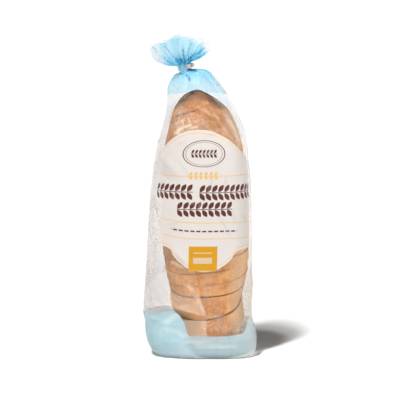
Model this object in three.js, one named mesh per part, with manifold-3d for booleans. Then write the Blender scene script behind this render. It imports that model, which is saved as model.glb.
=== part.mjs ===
// A sliced wheat loaf in a printed plastic bread bag that stands on its end.
// Millimetres, +Z up, the printed front faces -Y. The film, its gathered neck and its open
// ruffle are one closed solid, and the tie is a second one round the neck.
import * as THREE from "three";
import { mergeVertices } from "three/addons/utils/BufferGeometryUtils.js";
import Module from "manifold-3d";

// Driving dimensions of the standing bag.
const LOAF_TOP = 285; // height at which the bag leaves the loaf and starts to gather
const NECK_HEIGHT = 307; // middle of the tie
const NECK_X = -14; // the neck stands left of the middle of the base
const NECK_RADIUS = 5.6;
const NECK_LEAN = 18; // degrees that the tie's plane leans to the left
const RIM_X = -19.4; // middle of the ruffle's rim
const RIM_HEIGHT = 329.2; // height of the rim at its left and right ends
const RIM_HALF_WIDTH = 29.4;
const RIM_HALF_DEPTH = 23;
const RIM_ARCH = 9.4; // the rim's front and back rise this far above its ends
const BASE_ROUNDING = { right: [7, 9], left: [19, 44] }; // [inwards, upwards]

// Folds of the film.
const PLEATS = 9; // deep folds that run through the neck into the ruffle
const SHOULDER_FOLD = 0.1; // depth of the folds over the shoulder, as a share of the radius
const SHOULDER_FOLD_REACH = 75; // how far down from the gathered film they run
const FUNNEL_MOUTH = 0.95; // the open mouth's width, as a share of the rim's
const FUNNEL_WAIST = 0.1; // the ruffle's wall is this much thicker halfway down
const FUNNEL_TAPER = 0.25; // and this much thicker at the bottom of the mouth
const FUNNEL_FLOOR = 0.12; // the mouth ends at this share of the ruffle's height
const FUNNEL_CLOSE = 0.15; // share of the mouth's depth over which it closes at the bottom
const SIDE_CREASES = [
  { angle: 180, from: 26, to: 270, width: 13, height: 3.2 }, // loose film on the left
  { angle: -14, from: 44, to: 250, width: 9, height: 1.6 },
  { angle: 38, from: 60, to: 262, width: 11, height: 1.8 },
  { angle: 142, from: 52, to: 240, width: 12, height: 2.0 },
];

// Tie.
const TIE_INNER_RADIUS = 6.9; // clears the outermost pleats of the neck
const TIE_WALL = 1.2;
const TIE_WIDTH = 4.6;
const TAB_LENGTH = 3.6; // the tie's ends, stuck together, stand out on the right
const TAB_WALL = 1.4;
const TAB_TURN = -38; // degrees round the neck, from the right towards the front

// Mesh fineness.
const SIDES = 90;
const BASE_RINGS = 5;
const BODY_RINGS = 26;
const GATHER_RINGS = 9;
const RUFFLE_RINGS = 11;
const FUNNEL_RINGS = 9;

// Levels of the filled body: height, left edge, right edge, half depth and squareness.
const BODY_LEVELS = [
  { z: 0, left: -60.4, right: 62, depth: 43, square: 3.6 },
  { z: 22, left: -59.4, right: 62.2, depth: 43.5, square: 3.4 },
  { z: 42, left: -57.2, right: 57.8, depth: 44, square: 2.7 },
  { z: 100, left: -52.6, right: 57, depth: 44, square: 2.5 },
  { z: 165, left: -48.8, right: 55.6, depth: 44, square: 2.5 },
  { z: 205, left: -44, right: 53.2, depth: 42.5, square: 2.5 },
  { z: 236, left: -38.4, right: 49.4, depth: 39, square: 2.4 },
  { z: 262, left: -33.4, right: 39.2, depth: 33, square: 2.3 },
  { z: LOAF_TOP, left: -31.8, right: 25, depth: 25, square: 2.2 },
  { z: 298, left: -27.4, right: 14.6, depth: 16.5, square: 2.1 },
];

// Levels from the shoulder through the neck to the rim: middle, half width, half depth,
// lean in degrees and how deep the pleats cut, as a share of the radius.
const GATHER_LEVELS = [
  { x: -7.6, z: 302.2, width: 15, depth: 12, lean: 6, pleat: 0.15 },
  { x: NECK_X + 0.4, z: NECK_HEIGHT - 3.4, width: 6.2, depth: 6.2, lean: 16, pleat: 0.06 },
  { x: NECK_X, z: NECK_HEIGHT, width: NECK_RADIUS, depth: NECK_RADIUS, lean: NECK_LEAN, pleat: 0.05 },
  { x: NECK_X - 0.7, z: NECK_HEIGHT + 3, width: 6.2, depth: 6.2, lean: 17, pleat: 0.06 },
];
const RUFFLE_LEVELS = [
  { x: -16.2, z: 312.4, width: 17.4, depth: 13, lean: 13, pleat: 0.22 },
  { x: -18, z: 317.6, width: 25.4, depth: 19, lean: 11, pleat: 0.24 },
  { x: -19.4, z: 323.8, width: 28.6, depth: 22, lean: 8, pleat: 0.21 },
  { x: RIM_X, z: RIM_HEIGHT, width: RIM_HALF_WIDTH, depth: RIM_HALF_DEPTH, lean: 5, pleat: 0.18 },
];

const radians = THREE.MathUtils.degToRad;
const smooth = THREE.MathUtils.smoothstep;

// Values between the levels of a list, along a Catmull-Rom curve through their numbers.
function between(levels, share) {
  const keys = Object.keys(levels[0]);
  const place = THREE.MathUtils.clamp(share, 0, 1) * (levels.length - 1);
  const index = Math.min(Math.floor(place), levels.length - 2);
  const t = place - index;
  const at = (i) => levels[THREE.MathUtils.clamp(i, 0, levels.length - 1)];
  const found = {};
  for (const key of keys) {
    const [a, b, c, d] = [-1, 0, 1, 2].map((step) => at(index + step)[key]);
    const slope = c - a;
    const bend = 2 * a - 5 * b + 4 * c - d;
    const twist = 3 * b - a - 3 * c + d;
    found[key] = 0.5 * (2 * b + slope * t + bend * t ** 2 + twist * t ** 3);
  }
  return found;
}

// The body's level at a height: its heights rise all the way, so the share is searched for.
function bodyAt(height) {
  let [low, high] = [0, 1];
  for (let step = 0; step < 30; step += 1) {
    const middle = (low + high) / 2;
    if (between(BODY_LEVELS, middle).z < height) low = middle;
    else high = middle;
  }
  return between(BODY_LEVELS, (low + high) / 2);
}

// Distance from the middle of a rounded section to its edge, in the direction of an angle.
function reach(angle, width, depth, square) {
  const across = Math.abs(Math.cos(angle) / width) ** square;
  const along = Math.abs(Math.sin(angle) / depth) ** square;
  return (across + along) ** (-1 / square);
}

// Uneven wave of the pleats round the neck: -1 in the valleys, 1 on the ridges.
function pleatWave(angle) {
  const drifted = angle + 0.16 * Math.sin(2 * angle + 0.7) + 0.07 * Math.sin(5 * angle + 2.1);
  const ridge = 1 - 2 * Math.abs(Math.sin((PLEATS * drifted) / 2)) ** 1.3;
  return ridge * (0.78 + 0.22 * Math.sin(3 * angle + 1.2));
}

// Ridges that the loose film makes down the sides of the body.
function creaseHeight(angle, height) {
  let sum = 0;
  for (const crease of SIDE_CREASES) {
    const turn = angle - radians(crease.angle);
    const off = Math.abs(Math.atan2(Math.sin(turn), Math.cos(turn)));
    const share = Math.max(0, 1 - off / radians(crease.width));
    const rise = smooth(height, crease.from, crease.from + 30);
    const fall = 1 - smooth(height, crease.to - 60, crease.to);
    sum += crease.height * share ** 2 * rise * fall;
  }
  return sum;
}

// Long shallow folds that run down from the gathered neck and die out over the loaf.
function shoulderFold(angle, height) {
  const top = BODY_LEVELS.at(-1).z;
  const strength = smooth(height, top - SHOULDER_FOLD_REACH, top) ** 2;
  return SHOULDER_FOLD * strength * pleatWave(angle);
}

function bodyPoint(angle, height, inset = 0) {
  const level = bodyAt(height);
  const middle = (level.left + level.right) / 2;
  const width = (level.right - level.left) / 2;
  const plain = reach(angle, width, level.depth, level.square);
  const radius = plain * (1 + shoulderFold(angle, height)) + creaseHeight(angle, height) - inset;
  return new THREE.Vector3(middle + radius * Math.cos(angle), radius * Math.sin(angle), height);
}

// The bottom edge is rounded widely on the loose left side and tightly elsewhere.
function basePoint(angle, turn) {
  const leftness = smooth(-Math.cos(angle), 0.2, 1);
  const inwards = THREE.MathUtils.lerp(BASE_ROUNDING.right[0], BASE_ROUNDING.left[0], leftness);
  const upwards = THREE.MathUtils.lerp(BASE_ROUNDING.right[1], BASE_ROUNDING.left[1], leftness);
  const height = upwards * (1 - Math.cos(turn));
  return bodyPoint(angle, height, inwards * (1 - Math.sin(turn)));
}

// Between the rounded bottom edge and the top level of the body.
function sidePoint(angle, share) {
  const start = basePoint(angle, Math.PI / 2).z;
  const end = BODY_LEVELS.at(-1).z;
  return bodyPoint(angle, THREE.MathUtils.lerp(start, end, share));
}

// A leaning ring of the gathered film. scale pulls it towards its middle, lift raises it.
function gatherPoint(level, angle, scale = 1, lift = 0) {
  const lean = radians(level.lean);
  const radius = scale * reach(angle, level.width, level.depth, 2) * (1 + level.pleat * pleatWave(angle));
  const across = radius * Math.cos(angle);
  return new THREE.Vector3(
    level.x + across * Math.cos(lean) - lift * Math.sin(lean),
    radius * Math.sin(angle),
    level.z + across * Math.sin(lean) + lift * Math.cos(lean),
  );
}

// The rim is arched from side to side and uneven from pleat to pleat.
function rimLift(angle) {
  const arch = RIM_ARCH * Math.abs(Math.sin(angle)) ** 1.1;
  const uneven = 1.5 * Math.sin(4 * angle + 0.6) + 0.9 * Math.sin(7 * angle + 2.4);
  return arch + uneven;
}

function ring(pointAt) {
  return Array.from({ length: SIDES }, (_, i) => pointAt((i / SIDES) * 2 * Math.PI));
}

function bagRings() {
  const rings = [];
  for (let i = 0; i <= BASE_RINGS; i += 1) {
    rings.push(ring((angle) => basePoint(angle, ((i / BASE_RINGS) * Math.PI) / 2)));
  }
  for (let i = 1; i <= BODY_RINGS; i += 1) {
    rings.push(ring((angle) => sidePoint(angle, i / BODY_RINGS)));
  }
  const top = BODY_LEVELS.at(-1);
  const shoulder = {
    x: (top.left + top.right) / 2,
    z: top.z,
    width: (top.right - top.left) / 2,
    depth: top.depth,
    lean: 0,
    pleat: SHOULDER_FOLD,
  };
  const gather = [shoulder, ...GATHER_LEVELS];
  for (let i = 1; i <= GATHER_RINGS; i += 1) {
    rings.push(ring((angle) => gatherPoint(between(gather, i / GATHER_RINGS), angle)));
  }
  const ruffle = [GATHER_LEVELS.at(-1), ...RUFFLE_LEVELS];
  for (let i = 1; i <= RUFFLE_RINGS; i += 1) {
    const share = i / RUFFLE_RINGS;
    const level = between(ruffle, share);
    rings.push(ring((angle) => gatherPoint(level, angle, 1, rimLift(angle) * share ** 2)));
  }
  // The open mouth is a funnel inside the ruffle.
  for (let i = 0; i < FUNNEL_RINGS; i += 1) {
    const share = 1 - i / FUNNEL_RINGS;
    const level = between(ruffle, THREE.MathUtils.lerp(FUNNEL_FLOOR, 1, share));
    const waist = FUNNEL_WAIST * Math.sin(Math.PI * share);
    const inner = FUNNEL_MOUTH - waist - FUNNEL_TAPER * (1 - share);
    const scale = inner * Math.min(1, share / FUNNEL_CLOSE);
    rings.push(ring((angle) => gatherPoint(level, angle, scale, rimLift(angle) * share ** 2)));
  }
  return rings;
}

function middleOf(points) {
  const sum = points.reduce((total, point) => total.add(point), new THREE.Vector3());
  return sum.divideScalar(points.length);
}

// A closed skin over rings of equal length, with a middle point in each end.
function skin(rings) {
  const points = [...rings.flat(), middleOf(rings[0]), middleOf(rings.at(-1))];
  const [bottom, top] = [points.length - 2, points.length - 1];
  const faces = [];
  for (let i = 0; i < SIDES; i += 1) {
    const next = (i + 1) % SIDES;
    for (let k = 0; k < rings.length - 1; k += 1) {
      const [a, b] = [k * SIDES + i, k * SIDES + next];
      faces.push(a, b, b + SIDES, a, b + SIDES, a + SIDES);
    }
    const last = (rings.length - 1) * SIDES;
    faces.push(bottom, next, i, top, last + i, last + next);
  }
  const geometry = new THREE.BufferGeometry().setFromPoints(points);
  geometry.setIndex(faces);
  geometry.computeVertexNormals();
  return geometry;
}

function bag() {
  const film = new THREE.MeshStandardMaterial({ color: 0xd9e6ea, roughness: 0.3, metalness: 0 });
  const mesh = new THREE.Mesh(skin(bagRings()), film);
  mesh.name = "bag";
  return mesh;
}

const wasm = await Module();
wasm.setup();

function toSolid(geometry) {
  const bare = geometry.index ? geometry.toNonIndexed() : geometry.clone();
  bare.deleteAttribute("normal");
  bare.deleteAttribute("uv");
  const merged = mergeVertices(bare, 1e-4);
  return new wasm.Manifold(
    new wasm.Mesh({
      numProp: 3,
      vertProperties: merged.attributes.position.array,
      triVerts: new Uint32Array(merged.index.array),
    }),
  );
}

function fromSolid(solid) {
  const { vertProperties, triVerts } = solid.getMesh();
  const geometry = new THREE.BufferGeometry();
  geometry.setAttribute("position", new THREE.BufferAttribute(new Float32Array(vertProperties), 3));
  geometry.setIndex(new THREE.BufferAttribute(new Uint32Array(triVerts), 1));
  geometry.computeVertexNormals();
  return geometry;
}

// A flat band round the neck, whose two ends are stuck together in a short tab.
function tie() {
  const inner = TIE_INNER_RADIUS;
  const outer = inner + TIE_WALL;
  const half = TIE_WIDTH / 2;
  const edge = 0.4;
  const profile = [
    [inner, -half],
    [outer - edge, -half],
    [outer, -half + edge],
    [outer, half - edge],
    [outer - edge, half],
    [inner, half],
    [inner, -half],
  ].map(([radius, height]) => new THREE.Vector2(radius, height));
  const band = new THREE.LatheGeometry(profile, 48).rotateX(Math.PI / 2);
  const tab = new THREE.BoxGeometry(TAB_LENGTH + TIE_WALL / 2, TAB_WALL, TIE_WIDTH - 0.6);
  tab.translate(inner + TIE_WALL / 2 + TAB_LENGTH / 2 + TIE_WALL / 4, 0, 0).rotateZ(radians(TAB_TURN));
  const joined = toSolid(band).add(toSolid(tab));
  const paper = new THREE.MeshStandardMaterial({ color: 0xe6d9d3, roughness: 0.55, metalness: 0 });
  const mesh = new THREE.Mesh(fromSolid(joined), paper);
  mesh.name = "tie";
  mesh.position.set(NECK_X, 0, NECK_HEIGHT);
  mesh.rotation.y = -radians(NECK_LEAN);
  return mesh;
}

// The origin is the middle of the box that holds the whole pack, on the floor.
function standOnOrigin(group) {
  const box = new THREE.Box3().setFromObject(group, true);
  const middle = box.getCenter(new THREE.Vector3());
  group.position.set(-middle.x, -middle.y, -box.min.z);
  return group;
}

const loafInBag = new THREE.Group();
loafInBag.add(bag(), tie());

export default standOnOrigin(loafInBag);
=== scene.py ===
"""A sliced wheat loaf in a printed bread bag, standing on its end.

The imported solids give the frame. The film replaces the bag's solid with a thin printed skin
of the same outline, the slices stand inside it, and the tie holds the gathered neck.
"""
import math
import random
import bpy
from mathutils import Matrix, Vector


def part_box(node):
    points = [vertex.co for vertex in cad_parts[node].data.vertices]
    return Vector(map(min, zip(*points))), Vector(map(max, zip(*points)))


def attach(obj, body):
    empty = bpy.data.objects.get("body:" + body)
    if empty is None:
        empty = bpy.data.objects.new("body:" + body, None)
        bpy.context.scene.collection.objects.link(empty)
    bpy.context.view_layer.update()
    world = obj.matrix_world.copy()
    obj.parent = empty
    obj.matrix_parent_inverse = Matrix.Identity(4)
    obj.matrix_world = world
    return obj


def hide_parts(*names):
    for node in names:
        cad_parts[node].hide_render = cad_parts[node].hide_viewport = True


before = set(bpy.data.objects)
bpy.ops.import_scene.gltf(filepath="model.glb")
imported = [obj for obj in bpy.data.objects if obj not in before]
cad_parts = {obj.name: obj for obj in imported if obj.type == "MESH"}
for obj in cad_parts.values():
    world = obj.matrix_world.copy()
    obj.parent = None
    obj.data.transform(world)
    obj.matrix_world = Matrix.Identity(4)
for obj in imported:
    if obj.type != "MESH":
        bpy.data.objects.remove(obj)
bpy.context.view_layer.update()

from types import SimpleNamespace

import bpy
import numpy as np
from mathutils import Matrix, Vector, noise

BAG_LOW, BAG_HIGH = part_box("bag")

bl_info = {
    "name": "Loaf in bread bag",
    "version": (1, 0, 0),
    "blender": (4, 5, 0),
    "location": "View3D > Sidebar > Bread",
    "description": "Models a sliced loaf in a printed bag with a gathered neck",
    "category": "Add Mesh",
}

# Sizes are in metres, +Z up, and the printed front faces -Y.

# Levels of the filled body: height, left edge, right edge, half depth and squareness.
BODY_LEVELS = (
    dict(z=0.0, left=-0.0604, right=0.062, depth=0.043, square=3.6),
    dict(z=0.022, left=-0.0594, right=0.0622, depth=0.0435, square=3.4),
    dict(z=0.042, left=-0.0572, right=0.0578, depth=0.044, square=2.7),
    dict(z=0.1, left=-0.0526, right=0.057, depth=0.044, square=2.5),
    dict(z=0.165, left=-0.0488, right=0.0556, depth=0.044, square=2.5),
    dict(z=0.205, left=-0.044, right=0.0532, depth=0.0425, square=2.5),
    dict(z=0.236, left=-0.0384, right=0.0494, depth=0.039, square=2.4),
    dict(z=0.262, left=-0.0334, right=0.0392, depth=0.033, square=2.3),
    dict(z=0.285, left=-0.0312, right=0.025, depth=0.025, square=2.2),
    dict(z=0.298, left=-0.0246, right=0.0146, depth=0.0165, square=2.1),
)
BODY_TOP = BODY_LEVELS[-1]

# Levels from the shoulder through the neck to the rim of the ruffle: middle, half width, half
# depth, lean in degrees and how deep the pleats cut, as a share of the radius.
SHOULDER_FOLD = 0.06
GATHER_LEVELS = (
    dict(x=-0.005, z=0.298, width=0.0196, depth=0.0165, lean=0.0, pleat=SHOULDER_FOLD),
    dict(x=-0.0068, z=0.3022, width=0.0138, depth=0.012, lean=6.0, pleat=0.15),
    dict(x=-0.0136, z=0.3036, width=0.0062, depth=0.0062, lean=16.0, pleat=0.06),
    dict(x=-0.014, z=0.307, width=0.0064, depth=0.0064, lean=18.0, pleat=0.05),
    dict(x=-0.0147, z=0.31, width=0.0062, depth=0.0062, lean=17.0, pleat=0.06),
)
RUFFLE_LEVELS = (
    GATHER_LEVELS[-1],
    dict(x=-0.0162, z=0.3124, width=0.0174, depth=0.013, lean=13.0, pleat=0.22),
    dict(x=-0.018, z=0.3176, width=0.0254, depth=0.019, lean=11.0, pleat=0.24),
    dict(x=-0.0194, z=0.3238, width=0.0286, depth=0.022, lean=8.0, pleat=0.21),
    dict(x=-0.0194, z=0.3292, width=0.0294, depth=0.023, lean=5.0, pleat=0.18),
)
GATHER_LENGTH = 0.02
RUFFLE_RUN = BODY_TOP["z"] + GATHER_LENGTH
RUFFLE_LENGTH = 0.035
RIM_ARCH = 0.0094
PLEATS = 9
# How far below the neck the shoulder begins to fold, and the ruffle's crease that counts as full.
SHOULDER_DROP = 0.075
FULL_CREASE = 0.14

# The bottom edge is rounded inwards and upwards, more so on the loose left side.
BASE_ROUNDING = {"right": (0.007, 0.009), "left": (0.019, 0.044)}
BASE_RUN = 0.04

# Ridges of loose film down the sides: angle, from and to height, width in degrees, height.
SIDE_CREASES = (
    dict(angle=180, start=0.026, end=0.27, width=13, rise=0.0032),
    dict(angle=-14, start=0.044, end=0.25, width=9, rise=0.0016),
    dict(angle=38, start=0.06, end=0.262, width=11, rise=0.0018),
    dict(angle=142, start=0.052, end=0.24, width=12, rise=0.002),
)

# Creases in the front of the ruffle: angle, reach as a share of its height, width in degrees and
# depth as a share of the radius. The others are drawn.
FRONT_CREASES = (
    (-150.0, 0.8, 9.0, 0.12),
    (-129.0, 0.7, 7.0, 0.12),
    (-112.0, 0.9, 7.0, 0.2),
    (-96.0, 0.7, 6.0, 0.16),
    (-80.0, 1.0, 7.0, 0.24),
    (-64.0, 0.8, 6.0, 0.18),
    (-47.0, 0.95, 8.0, 0.2),
    (-30.0, 0.6, 8.0, 0.12),
)
SIDE_AND_BACK_CREASES = 15

# The loose fold in front of the tie, from the ruffle down to the shoulder.
NECK_FOLD = (
    dict(x=-0.0235, y=-0.004, z=0.3158, width=0.003, depth=0.0022),
    dict(x=-0.0212, y=-0.0082, z=0.3112, width=0.0042, depth=0.002),
    dict(x=-0.0182, y=-0.0102, z=0.306, width=0.0044, depth=0.0016),
    dict(x=-0.0155, y=-0.0108, z=0.3012, width=0.0034, depth=0.0016),
    dict(x=-0.0132, y=-0.0125, z=0.297, width=0.0012, depth=0.001),
)

# Creases of the sheet, as it lies flat: start and end, across and up, half width and height.
LAID_CREASES = (
    ((-0.07, 0.221), (-0.018, 0.193), 0.009, 0.0014),
    ((-0.066, 0.203), (-0.03, 0.189), 0.006, -0.0009),
    ((-0.044, 0.0585), (0.008, 0.0465), 0.0042, 0.0011),
    ((-0.052, 0.0935), (-0.018, 0.0925), 0.003, 0.0008),
    ((-0.07, 0.047), (-0.022, 0.036), 0.006, 0.0014),
    ((-0.058, 0.034), (-0.03, 0.043), 0.004, -0.0011),
    ((-0.04, 0.022), (0.012, 0.0165), 0.0035, 0.0009),
    ((-0.02, 0.0125), (0.05, 0.0145), 0.0035, 0.0008),
    ((0.018, 0.0195), (0.06, 0.0225), 0.003, 0.0007),
    ((0.052, 0.05), (0.066, 0.022), 0.005, 0.0012),
    ((-0.05, 0.2435), (-0.012, 0.258), 0.004, 0.0009),
    ((-0.022, 0.2545), (0.014, 0.2455), 0.003, 0.0007),
    ((0.0, 0.2725), (0.03, 0.259), 0.003, 0.0008),
    ((-0.01, 0.263), (0.012, 0.2435), 0.004, 0.0009),
    ((0.026, 0.271), (0.062, 0.245), 0.006, 0.001),
)
# Folds from the neck down the shoulders: across, how far down, half width and height.
SHOULDER_CREASES = (
    (-0.075, 0.036, 0.014, 0.0009),
    (-0.036, 0.03, 0.012, -0.0011),
    (-0.014, 0.034, 0.012, 0.0012),
    (0.0045, 0.02, 0.009, -0.0012),
    (0.021, 0.028, 0.012, 0.001),
    (0.044, 0.042, 0.012, -0.0012),
    (0.06, 0.042, 0.012, 0.001),
    (0.1, 0.034, 0.014, 0.0009),
    (0.132, 0.036, 0.014, 0.0009),
    (-0.125, 0.036, 0.014, -0.0009),
)
LOOSE_CREASES = 90
CREASE_LIMIT = 0.0022
# Height at which the girth of the bag gives the width of the flat sheet.
GIRTH_HEIGHT = 0.15

# Fineness of the film.
FILM_SIDES = 320
BASE_RINGS = 8
ROUNDING_RINGS = 10
BODY_RINGS = 130
GATHER_RINGS = 28
RUFFLE_RINGS = 34
FUNNEL_RINGS = 28
MERGE_DISTANCE = 1e-6

# Levels of the loaf inside, as seen from the front.
LOAF_LEVELS = (
    dict(z=0.0, left=-0.0105, right=0.0405, depth=0.0395, square=2.4),
    dict(z=0.0205, left=-0.0135, right=0.0435, depth=0.041, square=2.4),
    dict(z=0.036, left=-0.0192, right=0.0488, depth=0.0415, square=2.4),
    dict(z=0.05, left=-0.0295, right=0.0478, depth=0.0415, square=2.4),
    dict(z=0.066, left=-0.0328, right=0.0466, depth=0.0415, square=2.4),
    dict(z=0.088, left=-0.0355, right=0.0512, depth=0.0415, square=2.4),
    dict(z=0.106, left=-0.0397, right=0.0525, depth=0.0415, square=2.4),
    dict(z=0.16, left=-0.0415, right=0.0515, depth=0.0415, square=2.4),
    dict(z=0.2, left=-0.041, right=0.049, depth=0.0405, square=2.4),
    dict(z=0.224, left=-0.0385, right=0.0462, depth=0.0375, square=2.4),
    dict(z=0.245, left=-0.0332, right=0.0392, depth=0.034, square=2.3),
    dict(z=0.262, left=-0.0284, right=0.0305, depth=0.0295, square=2.2),
    dict(z=0.272, left=-0.0224, right=0.0195, depth=0.0235, square=2.2),
    dict(z=0.2785, left=-0.0162, right=0.0095, depth=0.016, square=2.1),
    dict(z=0.2845, left=-0.0096, right=0.003, depth=0.009, square=2.0),
)
# Painted shade of the crack near the upper end: height in the middle, rise to the right, start and end
# across.
CRACK_SHADE = {"height": 0.264, "rise": 0.31, "start": -0.028, "end": 0.002}
# The smooth dark patch near the upper end.
AMBER = {"middle": (0.0155, 0.2515), "size": (0.0125, 0.0085)}
# The loaf's upper edge as the front shows it, across and up.
LOAF_OUTLINE = (
    (-0.034, 0.243), (-0.0284, 0.262), (-0.0224, 0.272), (-0.0162, 0.2782), (-0.006, 0.2826),
    (0.0015, 0.2826), (0.0095, 0.2782), (0.0195, 0.272), (0.0305, 0.262), (0.04, 0.244),
)
# How much darker the crust is at each height: partly its baked colour, partly painted shade that tones down
# the upper end, which faces the light.
BAKED_AND_SHADED_LEVELS = (
    (0.0, 0.4), (0.03, 0.65), (0.04, 0.6), (0.045, 0.15), (0.049, 0.3), (0.055, 0.7), (0.06, 0.75),
    (0.0665, 0.15), (0.08, 0.0), (0.11, 0.2), (0.13, 0.0), (0.23, 0.0), (0.25, 0.3), (0.262, 0.3),
    (0.268, 0.8), (0.284, 1.0),
)
LOAF_BOTTOM = 0.0025
LOAF_TOP = 0.2832
BOTTOM_CAP = 0.012
TOP_CAP = 0.006
LOAF_CLEARANCE = 0.0014
LOAF_FRONT = Vector((0.007, -0.0415, 0.0))
# The seams below the label, from below: height at the front, rise to the right and to the back,
# and gap at the left and at the right. The others follow evenly up to the top seam.
LOW_SEAMS = (
    (0.0418, 0.18, 0.42, 0.0014, 0.003),
    (0.0535, 0.13, 0.33, 0.0, 0.0),
    (0.0665, 0.06, 0.24, 0.0036, 0.0001),
    (0.079, 0.1, 0.2, 0.0004, 0.0002),
    (0.0922, 0.12, 0.17, 0.0009, 0.0006),
    (0.106, 0.08, 0.15, 0.0006, 0.0002),
)
TOP_SEAM = 0.266
GAP_SPAN = 0.08
BACK_GAP = 0.0007


def smooth(value, low, high):
    """Rises smoothly from 0 at low to 1 at high."""
    share = np.clip((np.asarray(value, float) - low) / (high - low), 0.0, 1.0)
    return share * share * (3.0 - 2.0 * share)


def between(levels, share):
    """Values at a share of the way through levels, on a Catmull-Rom curve through their numbers."""
    place = min(max(share, 0.0), 1.0) * (len(levels) - 1)
    index = min(int(place), len(levels) - 2)
    t = place - index
    found = {}
    for key in levels[0]:
        a, b, c, d = (levels[min(max(index + step, 0), len(levels) - 1)][key] for step in (-1, 0, 1, 2))
        slope = c - a
        bend = 2 * a - 5 * b + 4 * c - d
        twist = 3 * b - a - 3 * c + d
        found[key] = 0.5 * (2 * b + slope * t + bend * t**2 + twist * t**3)
    return found


def sampled(levels, count=600):
    """The curve through levels as arrays, for looking values up by height."""
    rows = [between(levels, i / count) for i in range(count + 1)]
    return {key: np.array([row[key] for row in rows]) for key in rows[0]}


BODY_CURVE = sampled(BODY_LEVELS)
LOAF_CURVE = sampled(LOAF_LEVELS)


def at_height(curve, height):
    """The level of a curve at one height or at many."""
    return {key: np.interp(height, curve["z"], curve[key]) for key in curve}


def middle_and_width(level):
    """Middle and half width of a section."""
    return (level["left"] + level["right"]) / 2, (level["right"] - level["left"]) / 2


def turned_from(angle, degrees):
    """How far each angle is turned from a direction that is given in degrees."""
    turn = angle - math.radians(degrees)
    return np.abs(np.arctan2(np.sin(turn), np.cos(turn)))


def reach(angle, width, depth, square):
    """Distance from the middle of a rounded section to its edge, at an angle."""
    across = np.abs(np.cos(angle) / width) ** square
    along = np.abs(np.sin(angle) / depth) ** square
    return (across + along) ** (-1.0 / square)


def pleat_wave(angle):
    """Uneven wave of the pleats round the neck: -1 in the valleys, 1 on the ridges."""
    drifted = angle + 0.16 * np.sin(2 * angle + 0.7) + 0.07 * np.sin(5 * angle + 2.1)
    ridge = 1.0 - 2.0 * np.abs(np.sin(PLEATS * drifted / 2.0)) ** 1.3
    return ridge * (0.78 + 0.22 * np.sin(3 * angle + 1.2))


def crease_height(angle, height):
    """How far the ridges of loose film stand out from the sides."""
    total = np.zeros_like(angle)
    for crease in SIDE_CREASES:
        off = turned_from(angle, crease["angle"])
        share = np.maximum(0.0, 1.0 - off / math.radians(crease["width"]))
        rise = smooth(height, crease["start"], crease["start"] + 0.03)
        fall = 1.0 - smooth(height, crease["end"] - 0.06, crease["end"])
        total += crease["rise"] * share**2 * rise * fall
    return total


def body_ring(angle, height, inset=0.0):
    """Points of the filled body at each angle, at one height or at a height for each angle."""
    level = at_height(BODY_CURVE, height)
    middle, width = middle_and_width(level)
    plain = reach(angle, width, level["depth"], level["square"])
    on_shoulder = smooth(height, BODY_TOP["z"] - SHOULDER_DROP, BODY_TOP["z"])
    fold = SHOULDER_FOLD * on_shoulder**2 * pleat_wave(angle)
    radius = plain * (1.0 + fold) + crease_height(angle, height) - inset
    z = np.broadcast_to(height, angle.shape)
    return np.stack([middle + radius * np.cos(angle), radius * np.sin(angle), z], axis=1)


def rounded_base_ring(angle, turn):
    """Points on the rounded bottom edge, from the floor at turn 0 to upright at a quarter turn."""
    leftness = smooth(-np.cos(angle), 0.2, 1.0)
    (right_in, right_up), (left_in, left_up) = BASE_ROUNDING["right"], BASE_ROUNDING["left"]
    inwards = right_in + (left_in - right_in) * leftness
    upwards = right_up + (left_up - right_up) * leftness
    height = upwards * (1.0 - math.cos(turn))
    return body_ring(angle, height, inwards * (1.0 - math.sin(turn)))


def rim_lift(angle):
    """How high the rim of the ruffle arches at the front and back."""
    arch = RIM_ARCH * np.abs(np.sin(angle)) ** 1.1
    uneven = 0.0015 * np.sin(4 * angle + 0.6) + 0.0009 * np.sin(7 * angle + 2.4)
    return arch + uneven


def ruffle_creases():
    """Sharp creases that run from the neck into the ruffle: angle, reach, width and depth."""
    creases = list(FRONT_CREASES)
    draw = random.Random(21)
    for i in range(SIDE_AND_BACK_CREASES):
        angle = -20.0 + 220.0 * (i + draw.uniform(0.2, 0.8)) / SIDE_AND_BACK_CREASES
        creases.append((angle, draw.uniform(0.45, 0.95), draw.uniform(7.0, 13.0), draw.uniform(0.07, 0.16)))
    return creases


def ruffle_depth(angle, share):
    """How deep the creases cut at a share of the way from the neck to the rim."""
    total = np.zeros_like(angle)
    for middle, length, width, depth in ruffle_creases():
        off = turned_from(angle, middle)
        across = np.maximum(0.0, 1.0 - off / math.radians(width)) ** 1.4
        total += depth * across * (1.0 - smooth(share, 0.3 * length, length)) * smooth(share, 0.0, 0.12)
    return total


def leaning_ring(level, angle, scale=1.0, lift=0.0, depth=0.0):
    """A leaning ring of the gathered film, pulled inwards by scale, raised by lift, creased by depth."""
    lean = math.radians(level["lean"])
    plain = reach(angle, level["width"], level["depth"], 2.0)
    radius = scale * plain * (1.0 + level["pleat"] * pleat_wave(angle) - depth)
    across = radius * np.cos(angle)
    x = level["x"] + across * math.cos(lean) - lift * math.sin(lean)
    z = level["z"] + across * math.sin(lean) + lift * math.cos(lean)
    return np.stack([x, radius * np.sin(angle), z], axis=1)


def ruffle_ring(angle, share, scale=1.0):
    """A ring of the ruffle at a share of the way from the neck to the rim."""
    level = between(RUFFLE_LEVELS, share)
    return leaning_ring(level, angle, scale, rim_lift(angle) * share**2, ruffle_depth(angle, share))


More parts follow.
